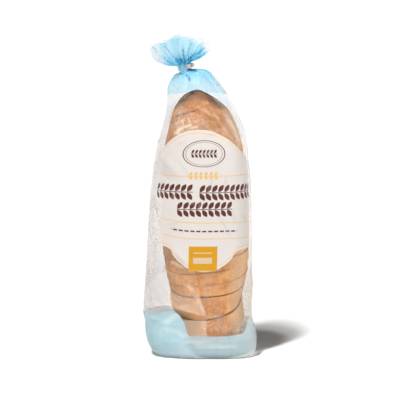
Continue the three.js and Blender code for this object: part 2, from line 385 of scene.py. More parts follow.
def film_rings(angle):
    """Rings of the whole film from the middle of the base to the bottom of the open mouth.

    Each comes with its run: the place on the flat sheet, measured upwards from the floor.
    """
    rings = []
    floor = rounded_base_ring(angle, 0.0)
    middle = floor[:-1].mean(axis=0)
    for i in range(BASE_RINGS):
        share = i / BASE_RINGS
        rings.append((middle + (floor - middle) * share, BASE_RUN * (share - 1.0)))
    for i in range(ROUNDING_RINGS):
        ring = rounded_base_ring(angle, i / ROUNDING_RINGS * math.pi / 2)
        rings.append((ring, ring[:, 2]))
    start = rounded_base_ring(angle, math.pi / 2)[:, 2]
    for i in range(BODY_RINGS + 1):
        height = start + (BODY_TOP["z"] - start) * i / BODY_RINGS
        rings.append((body_ring(angle, height), height))
    for i in range(1, GATHER_RINGS + 1):
        level = between(GATHER_LEVELS, i / GATHER_RINGS)
        rings.append((leaning_ring(level, angle), BODY_TOP["z"] + GATHER_LENGTH * i / GATHER_RINGS))
    for i in range(1, RUFFLE_RINGS + 1):
        share = i / RUFFLE_RINGS
        rings.append((ruffle_ring(angle, share), RUFFLE_RUN + RUFFLE_LENGTH * share))
    # The open mouth is a funnel just inside the ruffle, and closes above the tie.
    for i in range(FUNNEL_RINGS + 1):
        share = 1.0 - i / FUNNEL_RINGS
        inner = 0.975 - 0.10 * math.sin(math.pi * share) - 0.25 * (1.0 - share)
        scale = inner * min(1.0, share / 0.12)
        run = RUFFLE_RUN + RUFFLE_LENGTH * (2.0 - share) + 0.0001
        rings.append((ruffle_ring(angle, share, scale), run))
    return rings


def film_shift():
    """How far the film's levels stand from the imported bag, sideways."""
    points = np.concatenate([ring for ring, run in film_rings(np.linspace(-math.pi, math.pi, 91))])
    return (BAG_LOW.x + BAG_HIGH.x) / 2 - (points[:, 0].min() + points[:, 0].max()) / 2


FILM_SHIFT = film_shift()


def select_only(piece):
    """Selects one piece and makes it the active one."""
    bpy.ops.object.select_all(action="DESELECT")
    piece.select_set(True)
    bpy.context.view_layer.objects.active = piece


def place_vertices(piece, points):
    """Moves the piece's vertices to the points."""
    piece.data.vertices.foreach_set("co", np.asarray(points, np.float32).ravel())
    piece.data.update()


def vertex_points(piece):
    """The places of the piece's vertices, one in a row."""
    points = np.zeros(len(piece.data.vertices) * 3, np.float32)
    piece.data.vertices.foreach_get("co", points)
    return points.reshape(-1, 3).astype(float)


def mark_vertices(piece, name, values):
    """Keeps a value at each vertex, for the material to read."""
    marks = piece.data.attributes.new(name, "FLOAT", "POINT")
    marks.data.foreach_set("value", np.asarray(values, np.float32))


def closed_up(piece):
    """Merges the seam and the poles, and points every face outwards."""
    select_only(piece)
    bpy.ops.object.mode_set(mode="EDIT")
    bpy.ops.mesh.select_all(action="SELECT")
    bpy.ops.mesh.remove_doubles(threshold=MERGE_DISTANCE)
    bpy.ops.mesh.normals_make_consistent(inside=False)
    bpy.ops.object.mode_set(mode="OBJECT")
    bpy.ops.object.shade_smooth()


class Graph:
    """Adds and links shader nodes in one tree."""

    def __init__(self, tree):
        self.tree = tree

    def add(self, kind, settings=None, **inputs):
        """Adds a node with its settings and feeds its inputs."""
        node = self.tree.nodes.new(kind)
        for name, value in (settings or {}).items():
            setattr(node, name, value)
        for name, value in inputs.items():
            self.feed(node.inputs[name], value)
        return node

    def feed(self, socket, value):
        """Links a socket to another one, or gives it a plain value."""
        if isinstance(value, bpy.types.NodeSocket):
            self.tree.links.new(value, socket)
        else:
            socket.default_value = value

    def math(self, operation, *values, clamp=False):
        node = self.tree.nodes.new("ShaderNodeMath")
        node.operation = operation
        node.use_clamp = clamp
        for socket, value in zip(node.inputs, values):
            self.feed(socket, value)
        return node.outputs[0]

    def plus(self, a, b):
        return self.math("ADD", a, b)

    def minus(self, a, b):
        return self.math("SUBTRACT", a, b)

    def times(self, a, b):
        return self.math("MULTIPLY", a, b)

    def least(self, a, b):
        return self.math("MINIMUM", a, b)

    def most(self, *values):
        found = values[0]
        for value in values[1:]:
            found = self.math("MAXIMUM", found, value)
        return found

    def apart(self, a, b):
        """How far two values are apart."""
        return self.math("ABSOLUTE", self.minus(a, b))

    def length(self, x, y):
        return self.math("SQRT", self.plus(self.times(x, x), self.times(y, y)))

    def sway(self, texture, amount):
        """Swings by amount in all, about zero, as a texture goes from 0 to 1."""
        return self.times(self.minus(texture, 0.5), amount)

    def over(self, mask, below, above):
        """The value below, and where the mask is 1 the value above."""
        return self.plus(self.times(below, self.minus(1.0, mask)), self.times(above, mask))

    def ramp(self, value, low, high, start=0.0, end=1.0):
        """Goes smoothly from start to end as value goes from low to high."""
        node = self.tree.nodes.new("ShaderNodeMapRange")
        node.interpolation_type = "SMOOTHSTEP"
        given = {"Value": value, "From Min": low, "From Max": high, "To Min": start, "To Max": end}
        for name, number in given.items():
            self.feed(node.inputs[name], number)
        return node.outputs["Result"]

    def curve(self, value, points):
        """Follows a smooth curve through (value, result) points, level beyond its ends."""
        first, last = points[0][0], points[-1][0]
        results = [result for place, result in points]
        lowest = min(results)
        span = max(max(results) - lowest, 1e-6)
        node = self.tree.nodes.new("ShaderNodeFloatCurve")
        line = node.mapping.curves[0]
        placed = [((place - first) / (last - first), (result - lowest) / span) for place, result in points]
        line.points[0].location = placed[0]
        line.points[1].location = placed[-1]
        for spot in placed[1:-1]:
            line.points.new(*spot)
        node.mapping.update()
        self.feed(node.inputs["Value"], self.times(self.minus(value, first), 1.0 / (last - first)))
        return self.plus(self.times(node.outputs[0], span), lowest)

    def mix(self, factor, a, b):
        """Goes from colour a to colour b."""
        node = self.tree.nodes.new("ShaderNodeMix")
        node.data_type = "RGBA"
        self.feed(node.inputs["Factor"], factor)
        self.feed(node.inputs[6], a)
        self.feed(node.inputs[7], b)
        return node.outputs[2]

    def noise(self, vector, scale, detail=3.0, roughness=0.5, distortion=0.0):
        node = self.add(
            "ShaderNodeTexNoise", Vector=vector, Scale=scale, Detail=detail, Roughness=roughness,
            Distortion=distortion)
        return node.outputs["Fac"]


def linear(red, green, blue):
    """A colour given in screen values from 0 to 255, as the shaders take it."""
    channels = [value / 255 for value in (red, green, blue)]
    return tuple(c / 12.92 if c <= 0.04045 else ((c + 0.055) / 1.055) ** 2.4 for c in channels)


def opaque(colour):
    """A colour as a shader's socket takes it."""
    return (*tuple(colour)[:3], 1.0)


def shaded(colour, share):
    """A colour made darker or lighter, as a shader's socket takes it."""
    return opaque([min(1.0, channel * share) for channel in colour])


def colour_setting(name, description, red, green, blue):
    """A colour of the panel, its default in screen values from 0 to 255."""
    return bpy.props.FloatVectorProperty(
        name=name, description=description, subtype="COLOR", size=3, min=0, max=1,
        default=linear(red, green, blue))


def share_setting(name, description, default):
    """A share of the panel, from 0 to 1."""
    return bpy.props.FloatProperty(
        name=name, description=description, subtype="FACTOR", min=0, max=1, default=default)


def length_setting(name, description, low, high, default):
    """A length of the panel, in metres."""
    return bpy.props.FloatProperty(
        name=name, description=description, subtype="DISTANCE", unit="LENGTH", min=low, max=high,
        default=default)


class FilmSettings(bpy.types.PropertyGroup):
    """Colours, covers and wrinkles of the film"""

    ink: colour_setting("Blue ink", "Colour of the printed ends of the bag", 114, 220, 244)
    ink_cover: share_setting("Blue cover", "How much one printed layer hides", 0.3)
    deep_ink: colour_setting(
        "Folded ink", "Colour of the blue where folds lie over each other", 56, 160, 208)
    # Painted shade: the colour of the dark lines in the sharp folds beside the neck.
    fold_shade: colour_setting("Fold lines", "Colour of the sharp folds beside the neck", 44, 108, 146)
    pale_ink: colour_setting("Pale ink", "Colour of the blue where only one layer shows", 176, 202, 222)
    base_ink: colour_setting(
        "Base ink", "Colour of the milky blue print round the bottom", 166, 201, 210)
    # Painted light: the bottom's print is lightened at its right side and in highlight streaks.
    base_painted_light: colour_setting(
        "Base shine", "Colour of the bottom's print where it turns to the side", 228, 232, 230)
    base_cover: share_setting("Base cover", "How much the print round the bottom hides", 0.74)
    haze: colour_setting("Clear film", "Colour of the unprinted film's milky haze", 198, 190, 183)
    warm_haze: colour_setting(
        "Warm film", "Colour of the haze where the crust shines into it", 212, 188, 160)
    haze_cover: share_setting("Haze cover", "How much the clear film hides at least", 0.05)
    glint: colour_setting("Glints", "Colour of the light caught by the crinkles", 243, 219, 194)
    label: colour_setting("Label", "Colour of the white printed field", 218, 211, 206)
    # Painted shade: the white field greyed along its creases.
    label_crease_shade: colour_setting(
        "Folded label", "Colour of the white field where it is folded", 176, 168, 168)
    label_cover: share_setting("Label cover", "How much the label hides", 0.9)
    brown: colour_setting("Dark print", "Colour of the grain ornament and the badge", 88, 44, 36)
    ochre: colour_setting("Thin lines", "Colour of the thin lines and small grains", 226, 186, 112)
    yellow: colour_setting("Square", "Colour of the square on the label", 208, 150, 12)
    wrinkle: length_setting("Wrinkles", "Height of the film's loose wrinkles", 0.0, 0.004, 0.0008)


class LoafSettings(bpy.types.PropertyGroup):
    """Thickness of the slices and colours of the bread"""

    slice_height: length_setting("Slice", "Thickness of one slice", 0.006, 0.03, 0.0124)
    crust: colour_setting("Crust", "Golden brown of the crust", 206, 146, 82)
    crust_dark: colour_setting(
        "Baked crust", "Darker brown of the well baked patches", 180, 112, 58)
    # Dark crust of the loaf's upper end, which also stands for painted shade along its edge.
    heel_and_edge_shade: colour_setting("Heel", "Greyish brown of the loaf's upper end", 96, 70, 52)
    crown: colour_setting("Crown", "Brown of the crust just below the upper end", 150, 102, 72)
    golden: colour_setting("Golden crust", "Yellowish patches of the crust", 222, 170, 104)
    # Painted shade: the dark inside of the crack.
    crack: colour_setting("Crack", "Colour inside the crack near the upper end", 118, 50, 10)
    # Painted light: the crust is lightened at the right side, where it turns away from the key light.
    side_crust_light: colour_setting("Side crust", "Paler crust at the right side", 244, 192, 132)
    amber: colour_setting("Amber patch", "Smooth patch near the upper end", 178, 116, 34)
    crumb: colour_setting("Crumb", "Pale inside of the slices", 240, 220, 184)


class TieSettings(bpy.types.PropertyGroup):
    """Colour of the tie"""

    colour: colour_setting("Tie", "Colour of the tie", 226, 210, 202)


class StageSettings(bpy.types.PropertyGroup):
    """Floor, lights and camera"""

    floor: bpy.props.FloatVectorProperty(
        name="Floor", description="Colour of the floor", subtype="COLOR",
        size=3, min=0, max=1, default=(0.94, 0.94, 0.94))
    key_strength: bpy.props.FloatProperty(
        name="Key light", description="Strength of the light from the front left", min=0, default=3.85)
    key_softness: bpy.props.FloatProperty(
        name="Key softness", description="Angle that each part of the key light fills", subtype="ANGLE",
        unit="ROTATION", min=0, default=math.radians(4))
    side_strength: bpy.props.FloatProperty(
        name="Side light", description="Power of the soft light at the right", min=0, default=15.6)
    fill: bpy.props.FloatProperty(
        name="Fill", description="Strength of the light from all round", min=0, default=0.056)
    distance: length_setting(
        "Camera distance", "From the camera to the middle of the bag", 0.5, 10.0, 1.75)


# Places on the flat printed sheet, in metres: across from the middle of the front, and up.
TOP_PRINT_EDGE = (
    (-0.15, 0.279), (-0.062, 0.2775), (-0.0425, 0.279), (-0.028, 0.2796), (-0.017, 0.2804),
    (-0.0046, 0.283), (0.0071, 0.2834), (0.0178, 0.281), (0.0274, 0.2786), (0.0385, 0.2775),
    (0.048, 0.278), (0.15, 0.278),
)
BASE_PRINT_EDGE = (
    (-0.15, 0.036), (-0.095, 0.037), (-0.068, 0.0465), (-0.06, 0.0485), (-0.044, 0.0495),
    (-0.03, 0.053), (-0.0255, 0.0515), (-0.0166, 0.0423), (-0.0135, 0.034), (-0.0118, 0.0268),
    (-0.009, 0.0255), (0.0056, 0.0254), (0.0211, 0.0254), (0.0326, 0.026), (0.0403, 0.0268),
    (0.0455, 0.0295), (0.0509, 0.0346), (0.055, 0.0412), (0.0605, 0.0435), (0.068, 0.042),
    (0.09, 0.034), (0.15, 0.035),
)
LABEL_TOP = (
    (-0.07, 0.211), (-0.0554, 0.2217), (-0.046, 0.229), (-0.0363, 0.2352), (-0.0268, 0.2397),
    (-0.0166, 0.2424), (-0.0042, 0.2433), (0.0078, 0.242), (0.0171, 0.239), (0.0268, 0.2345),
    (0.037, 0.228), (0.0456, 0.2213), (0.0596, 0.2125),
)
LABEL_BOTTOM = (
    (-0.06, 0.1232), (-0.0432, 0.121), (-0.0374, 0.1197), (-0.0327, 0.1174), (-0.0299, 0.112),
    (-0.0246, 0.106), (-0.0194, 0.102), (-0.0126, 0.0976), (0.0022, 0.0945), (0.0166, 0.0963),
    (0.0215, 0.0986), (0.0283, 0.1033), (0.0334, 0.1081), (0.0362, 0.1128), (0.0428, 0.1158),
    (0.06, 0.117),
)
# The label's left edge: the first place is up, and the second across.
LABEL_LEFT = (
    (0.11, -0.0465), (0.13, -0.0462), (0.152, -0.047), (0.165, -0.053), (0.178, -0.066),
    (0.194, -0.077), (0.21, -0.074), (0.225, -0.062),
)
LABEL_RIGHT = 0.0605
# Left of this edge the film stands off the loaf. The first place is up, and the second across.
CLING_EDGE = (
    (0.02, 0.009), (0.0272, 0.0085), (0.0476, 0.0075), (0.061, 0.0021), (0.0816, -0.0022),
    (0.0965, -0.005), (0.16, 0.0), (0.236, 0.016), (0.242, 0.0115), (0.251, 0.0028),
    (0.257, -0.0032), (0.262, -0.012),
)
# A fold that lets the film cling again below it, down to its floor.
WEDGE_FOLD = ((-0.03, 0.0565), (0.0075, 0.0465))
WEDGE_FLOOR = 0.043
# The neck's place on the sheet.
NECK_RUN = 0.312
# Thin lines: how far inside the label's edge one runs, their width, and the heights of the others.
LINE_INSET = 0.0034
LINE_WIDTH = 0.001
THIN_LINES = (0.1951, 0.1461, 0.1293)
# How far the lower lines rise or sag across the sheet.
LINE_SAG = (
    (-0.07, 0.0052), (-0.044, 0.0037), (-0.028, 0.0016), (-0.004, 0.0), (0.022, 0.0),
    (0.055, -0.0012),
)
BADGE = {"middle": (0.0007, 0.2185), "size": (0.0236, 0.0136)}
SMALL_GRAINS = {"span": (-0.0152, 0.0172), "middle": 0.1956, "height": 0.0078, "pitch": 0.0054}
# Ears of grain: a small one in the badge, and three large ones.
EARS = (
    {"span": (-0.014, 0.0154), "middle": 0.2185, "height": 0.0086, "pitch": 0.0042},
    {"span": (-0.056, -0.0098), "middle": 0.1786, "height": 0.0162, "pitch": 0.0066, "slim": 0.36},
    {"span": (-0.0031, 0.0629), "middle": 0.1778, "height": 0.0162, "pitch": 0.0066, "slim": 0.36},
    {"span": (-0.0264, 0.033), "middle": 0.1603, "height": 0.0155, "pitch": 0.0066, "slim": 0.36},
)
DASHES = {"span": (-0.0325, 0.0385), "middle": 0.1372, "width": 0.0016, "pitch": 0.0062}
SQUARE = {"low": (-0.0128, 0.0953), "high": (0.0172, 0.1212)}
SQUARE_BARS = (
    ((-0.008, 0.1138), (0.0118, 0.1149)),
    ((-0.008, 0.103), (0.0118, 0.1093)),
)
# Streaks of light on the crinkled film: start, end, half width and strength.
STREAKS = (
    ((-0.0367, 0.2393), (-0.0311, 0.2411), 0.0032, 0.6),
    ((-0.0335, 0.2425), (-0.0259, 0.2454), 0.0034, 0.7),
    ((-0.0259, 0.2454), (-0.0166, 0.2468), 0.0032, 0.7),
    ((-0.0154, 0.2437), (-0.0078, 0.2453), 0.003, 0.6),
    ((0.0031, 0.2646), (0.0088, 0.2605), 0.003, 0.5),
    ((-0.0038, 0.2656), (0.0011, 0.2625), 0.0026, 0.5),
    ((0.0086, 0.2595), (0.0244, 0.2557), 0.0026, 0.4),
    ((0.0189, 0.2572), (0.035, 0.2332), 0.0022, 0.35),
    ((-0.0184, 0.2542), (-0.0166, 0.2486), 0.0028, 0.5),
    ((-0.0267, 0.253), (-0.0247, 0.2485), 0.0026, 0.4),
    ((0.033, 0.258), (0.0455, 0.232), 0.008, 0.35),
    ((-0.0306, 0.1043), (-0.0196, 0.0984), 0.0035, 0.35),
    ((-0.0135, 0.0795), (-0.0085, 0.0765), 0.005, 0.3),
    ((-0.003, 0.068), (0.0045, 0.055), 0.004, 0.22),
)
# Painted highlight streaks of the same kind on the blue print round the bottom.
BASE_HIGHLIGHT_STREAKS = (
    ((-0.0333, 0.0406), (-0.0181, 0.0503), 0.0055, 0.4),
    ((-0.0348, 0.0338), (-0.0124, 0.0252), 0.005, 0.36),
    ((-0.0289, 0.0181), (0.0108, 0.0208), 0.0036, 0.22),
    ((-0.0041, 0.0163), (0.0358, 0.0148), 0.004, 0.22),
)
# A second layer of the blue film at the right of the loaf's upper end: start, end and half width.
SECOND_LAYER = ((0.034, 0.2755), (0.054, 0.2705), 0.011)
# Painted shade of the folds that run into the neck, as seen from the front: start, end, half width and
# strength.
FOLD_SHADE_LINES = (
    ((-0.014, 0.299), (-0.0109, 0.2942), 0.0021, 1.5),
    ((-0.0125, 0.3048), (-0.0042, 0.3032), 0.002, 1.1),
    ((-0.005, 0.322), (-0.013, 0.314), 0.0014, 0.7),
    ((0.004, 0.327), (-0.005, 0.319), 0.0014, 0.6),
    ((-0.024, 0.3155), (-0.018, 0.31), 0.004, 0.7),
    ((-0.037, 0.33), (-0.023, 0.312), 0.0016, 0.35),
    ((-0.018, 0.326), (-0.017, 0.314), 0.0014, 0.5),
    ((-0.01, 0.332), (-0.014, 0.317), 0.0014, 0.45),
    ((0.005, 0.322), (-0.005, 0.314), 0.0016, 0.5),
    ((-0.0098, 0.318), (-0.0187, 0.3105), 0.0013, 0.9),
    ((-0.0075, 0.315), (-0.0134, 0.31), 0.0013, 0.8),
    ((-0.0227, 0.315), (-0.0214, 0.3097), 0.0013, 0.8),
)
# Edges of the ruffle's pale left lobe and pale tip, as seen from the front: x and z of both ends.
PALE_LOBE = (-0.0497, 0.338, -0.0355, 0.311)
PALE_TIP = (-0.011, 0.3385, 0.0105, 0.323)


def between_mask(graph, value, low, high, soft=0.0004):
    """Mask that is 1 from low to high."""
    return graph.times(
        graph.ramp(value, low - soft, low + soft), graph.ramp(value, high - soft, high + soft, 1.0, 0.0))


def box_mask(graph, across, up, low, high):
    """Mask of an upright rectangle, from its low corner to its high one."""
    return graph.times(
        between_mask(graph, across, low[0], high[0]), between_mask(graph, up, low[1], high[1]))


def line_at(graph, distance, width):
    """A line where distance is zero."""
    half = width / 2
    return graph.ramp(graph.math("ABSOLUTE", distance), half * 0.6, half * 1.4, 1.0, 0.0)


def ellipse_distance(graph, across, up, middle, size):
    """Distance from the middle of an ellipse: 1 on its edge."""
    x = graph.times(graph.minus(across, middle[0]), 1.0 / size[0])
    y = graph.times(graph.minus(up, middle[1]), 1.0 / size[1])
    return graph.length(x, y)


def grain_row(graph, across, up, span, middle, height, pitch, tilt=0.62, slim=0.3):
    """Slanted pointed grains above and below a stem, like an ear of wheat laid flat."""
    start, end = span
    local = graph.times(graph.math("FRACT", graph.times(graph.minus(across, start), 1.0 / pitch)), pitch)
    x = graph.minus(local, pitch / 2)
    off = graph.minus(up, middle)
    y = graph.minus(graph.math("ABSOLUTE", off), height * 0.27)
    turned_x = graph.minus(graph.times(x, math.cos(tilt)), graph.times(y, math.sin(tilt)))
    turned_y = graph.plus(graph.times(x, math.sin(tilt)), graph.times(y, math.cos(tilt)))
    tall = graph.times(turned_y, 1.0 / (height * 0.29))
    leaf = graph.times(graph.minus(1.0, graph.times(tall, tall)), pitch * slim)
    grains = graph.ramp(graph.minus(leaf, graph.math("ABSOLUTE", turned_x)), -0.0002, 0.0002)
    stem = line_at(graph, off, height * 0.05)
    return graph.times(graph.most(grains, stem), between_mask(graph, across, start, end))


def film_print(graph, settings, across, up):
    """Colour and mask of the printed label."""
    edge = graph.least(
        graph.minus(graph.curve(across, LABEL_TOP), up), graph.minus(up, graph.curve(across, LABEL_BOTTOM)))
    sides = graph.least(
        graph.minus(across, graph.curve(up, LABEL_LEFT)), graph.minus(LABEL_RIGHT, across))
    field = graph.times(graph.ramp(edge, -0.0004, 0.0004), graph.ramp(sides, -0.0005, 0.0005))
    sagging = graph.minus(up, graph.curve(across, LINE_SAG))
    lines = line_at(graph, graph.minus(edge, LINE_INSET), LINE_WIDTH)
    lines = graph.most(lines, line_at(graph, graph.minus(up, THIN_LINES[0]), LINE_WIDTH))
    for height in THIN_LINES[1:]:
        lines = graph.most(lines, line_at(graph, graph.minus(sagging, height), LINE_WIDTH))
    lines = graph.most(graph.times(lines, 0.75), grain_row(graph, across, up, **SMALL_GRAINS))

    ring = ellipse_distance(graph, across, up, **BADGE)
    dark = graph.most(
        graph.ramp(graph.apart(ring, 1.0), 0.016, 0.034, 1.0, 0.0),
        graph.ramp(graph.apart(ring, 0.87), 0.008, 0.022, 0.7, 0.0))
    for ear in EARS:
        dark = graph.most(dark, grain_row(graph, across, up, **ear))
    dash_wave = graph.math("FRACT", graph.times(across, 1.0 / DASHES["pitch"]))
    dashes = graph.times(
        between_mask(graph, dash_wave, 0.14, 0.86, 0.05),
        line_at(graph, graph.minus(sagging, DASHES["middle"]), DASHES["width"]))
    dark = graph.most(dark, graph.times(dashes, between_mask(graph, across, *DASHES["span"])))

    square = box_mask(graph, across, up, **SQUARE)
    colour = graph.mix(lines, opaque(settings.label), opaque(settings.ochre))
    colour = graph.mix(dark, colour, opaque(settings.brown))
    colour = graph.mix(square, colour, opaque(settings.yellow))
    for low, high in SQUARE_BARS:
        bar = box_mask(graph, across, up, low, high)
        colour = graph.mix(graph.times(bar, 0.6), colour, opaque(settings.label))
    return colour, graph.most(field, square)


def light_streak(graph, across, up, start, end, width):
    """Mask of a soft streak from start to end."""
    run = Vector(end) - Vector(start)
    x, y = graph.minus(across, start[0]), graph.minus(up, start[1])
    share = run / run.length_squared
    along = graph.math("ADD", graph.times(x, share.x), graph.times(y, share.y), clamp=True)
    x, y = graph.minus(x, graph.times(along, run.x)), graph.minus(y, graph.times(along, run.y))
    return graph.ramp(graph.length(x, y), 0.0, width, 1.0, 0.0)


def add_streaks(graph, mask, across, up, streaks):
    """Adds streaks, each with its start, end, half width and strength, to a mask."""
    for start, end, width, strength in streaks:
        streak = light_streak(graph, across, up, start, end, width)
        mask = graph.most(mask, graph.times(streak, strength))
    return mask


def side_of_line(graph, x, z, line, soft=0.0025):
    """Mask that is 1 to the right of the line from (x0, z0) to (x1, z1), as seen from the front."""
    x0, z0, x1, z1 = line
    length = math.hypot(x1 - x0, z1 - z0)
    distance = graph.minus(
        graph.times(graph.minus(x, x0), (z0 - z1) / length),
        graph.times(graph.minus(z0, z), (x1 - x0) / length))
    return graph.ramp(distance, -soft, soft)


def new_material(name):
    """A material, the graph of its nodes and its shader."""
    material = bpy.data.materials.new(name)
    material.use_nodes = True
    return material, Graph(material.node_tree), material.node_tree.nodes["Principled BSDF"]


def object_place(graph):
    """The place on the object, and the same as X, Y and Z."""
    where = graph.add("ShaderNodeTexCoord").outputs["Object"]
    return where, graph.add("ShaderNodeSeparateXYZ", Vector=where).outputs


def add_relief(graph, shader, height, strength, distance):
    """Gives the surface a fine relief."""
    bump = graph.add("ShaderNodeBump", Height=height, Strength=strength, Distance=distance)
    graph.feed(shader.inputs["Normal"], bump.outputs["Normal"])


def film_marks(graph):
    """Places, folds and crinkles that the parts of the film's material share."""
    film = SimpleNamespace()
    flat = graph.add("ShaderNodeUVMap", {"uv_map": "print"}).outputs["UV"]
    sheet = graph.add("ShaderNodeSeparateXYZ", Vector=flat).outputs
    film.across, film.up = sheet["X"], sheet["Y"]
    where, place = object_place(graph)
    film.x, film.y, film.z = place["X"], place["Y"], place["Z"]
    film.crease = graph.add("ShaderNodeAttribute", {"attribute_name": "crease"}).outputs["Fac"]
    film.ridge = graph.add("ShaderNodeAttribute", {"attribute_name": "ridge"}).outputs["Fac"]
    film.soft = graph.noise(where, 14.0, 3.0)
    stretched = graph.add("ShaderNodeMapping", Vector=where, Scale=(60.0, 60.0, 9.0)).outputs[0]
    film.streaky = graph.noise(stretched, 1.0, 4.0, 0.6, 0.4)
    crumpled = graph.add("ShaderNodeMapping", Vector=where, Scale=(90.0, 90.0, 150.0)).outputs[0]
    film.crinkle = graph.noise(crumpled, 1.0, 4.0, 0.62, 1.2)
    film.bent_across = graph.plus(film.across, graph.sway(film.crinkle, 0.009))
    film.bent_up = graph.plus(film.up, graph.sway(film.streaky, 0.008))
    return film


def loose_film(graph, film):
    """Mask of the film that stands off the loaf."""
    right_of_edge = graph.minus(film.across, graph.curve(film.up, CLING_EDGE))
    loose = graph.ramp(graph.plus(right_of_edge, graph.sway(film.soft, 0.004)), -0.0012, 0.0012, 1.0, 0.0)
    (left, top), (right, end) = WEDGE_FOLD
    slope = (end - top) / (right - left)
    fold = graph.plus(top - slope * left, graph.times(film.across, slope))
    wedge = graph.times(
        graph.ramp(graph.minus(fold, film.up), -0.0008, 0.0008),
        graph.ramp(film.up, WEDGE_FLOOR - 0.001, WEDGE_FLOOR + 0.001))
    return graph.times(loose, graph.minus(1.0, wedge))


def clear_film(graph, settings, film):
    """Colour and cover of the unprinted film."""
    across, up = film.across, film.up
    loose = loose_film(graph, film)
    glints = graph.ramp(graph.apart(film.crinkle, 0.5), 0.0, 0.03, 1.0, 0.0)
    glints = graph.times(graph.times(glints, graph.ramp(film.soft, 0.46, 0.62)), 0.5)
    glints = add_streaks(graph, glints, film.bent_across, film.bent_up, STREAKS)
    far_side = graph.ramp(graph.math("ABSOLUTE", across), 0.044, 0.056)
    # Beside the loaf's right edge the film's side adds haze, raised further as painted light where the
    # crust turns from the light.
    right_veil_and_light = graph.times(
        graph.ramp(across, 0.027, 0.044), graph.ramp(across, 0.0465, 0.0515, 1.0, 0.0))
    left_veil = graph.times(
        graph.ramp(across, -0.039, -0.0335), graph.ramp(across, -0.032, -0.02, 1.0, 0.0))
    left_veil = graph.times(left_veil, graph.ramp(up, 0.225, 0.235, 0.0, 0.7))

    cover = settings.haze_cover
    for haze in (
        graph.times(graph.ramp(film.soft, 0.42, 0.7), 0.05),
        graph.times(loose, graph.times(graph.ramp(up, 0.062, 0.078, 1.0, 0.35), 0.29)),
        graph.times(far_side, graph.ramp(up, 0.07, 0.14, 0.18, 0.06)),
        graph.times(graph.ramp(film.streaky, 0.52, 0.75), 0.12),
        graph.times(glints, 0.75),
        graph.times(film.crease, 0.22),
        graph.times(far_side, graph.ramp(up, 0.06, 0.11, 0.12, 0.0)),
        graph.times(graph.most(right_veil_and_light, left_veil), 0.22),
    ):
        cover = graph.plus(cover, haze)
    cover = graph.times(cover, graph.ramp(up, 0.25, 0.275, 1.0, 0.45))

    warm = graph.times(graph.ramp(across, 0.03, 0.056), graph.ramp(up, 0.1, 0.16, 0.85, 0.15))
    colour = graph.mix(warm, opaque(settings.haze), opaque(settings.warm_haze))
    in_window = graph.times(loose, between_mask(graph, across, -0.035, 0.03, 0.004))
    lit = graph.most(graph.times(in_window, 0.8), glints)
    return graph.mix(lit, colour, opaque(settings.glint)), cover


def base_film(graph, settings, film):
    """Colour and cover of the milky blue print round the bottom, with painted light on its right side and
    painted highlight streaks.
    """
    colour = graph.mix(
        graph.ramp(film.across, -0.03, 0.0, 0.0, 0.22), opaque(settings.base_ink), opaque(settings.haze))
    # Painted light towards the right side, and painted highlight streaks.
    light = graph.ramp(film.across, 0.036, 0.056, 0.0, 0.55)
    light = add_streaks(graph, light, film.bent_across, film.bent_up, BASE_HIGHLIGHT_STREAKS)
    cover = graph.plus(settings.base_cover, graph.sway(film.streaky, 0.24))
    cover = graph.plus(cover, graph.times(film.crease, 0.15))
    cover = graph.times(cover, graph.ramp(film.up, 0.0, 0.007, 0.45, 1.0))
    return graph.mix(light, colour, opaque(settings.base_painted_light)), cover


def gathered_film(graph, settings, film):
    """Colour and cover of the blue film, in more layers towards the neck and darker in its folds, with
    painted shade lines in the sharpest.
    """
    near_neck = graph.ramp(graph.apart(film.up, NECK_RUN), 0.003, 0.028, 1.0, 0.0)
    # Painted shade in the folds, as seen from the front.
    lines = add_streaks(graph, 0.0, film.x, film.z, FOLD_SHADE_LINES)
    lines = graph.times(lines, graph.ramp(film.y, -0.003, 0.001, 1.0, 0.0))
    folded = graph.times(film.crease, graph.plus(0.45, near_neck))
    folded = graph.times(folded, graph.ramp(film.up, NECK_RUN - 0.012, NECK_RUN - 0.003, 0.55, 1.0))
    folded = graph.least(graph.plus(folded, lines), 1.0)
    x = graph.plus(film.x, graph.sway(film.streaky, 0.006))
    on_ruffle = graph.ramp(film.up, NECK_RUN + 0.002, NECK_RUN + 0.008)
    lobe = graph.times(on_ruffle, graph.minus(1.0, side_of_line(graph, x, film.z, PALE_LOBE, 0.0016)))
    tip = graph.times(on_ruffle, side_of_line(graph, x, film.z, PALE_TIP, 0.004))

    cover = graph.plus(settings.ink_cover, graph.times(near_neck, 0.42))
    cover = graph.plus(cover, graph.times(folded, 0.5))
    cover = graph.minus(cover, graph.times(graph.ramp(film.up, NECK_RUN, NECK_RUN + 0.03), 0.11))
    cover = graph.plus(cover, graph.sway(film.streaky, 0.2))
    thinner = graph.plus(graph.times(lobe, 0.35), graph.times(tip, 0.8))
    cover = graph.times(cover, graph.minus(1.0, thinner))

    colour = graph.mix(folded, opaque(settings.ink), opaque(settings.deep_ink))
    ridges = graph.times(film.ridge, graph.ramp(near_neck, 0.0, 0.7, 0.75, 0.2))
    shoulder = graph.ramp(film.up, NECK_RUN - 0.012, NECK_RUN - 0.004, 0.3, 0.0)
    paler = graph.most(graph.times(graph.most(lobe, tip), 0.8), ridges, shoulder)
    colour = graph.mix(paler, colour, opaque(settings.pale_ink))
    return graph.mix(graph.times(lines, 0.45), colour, opaque(settings.fold_shade)), cover


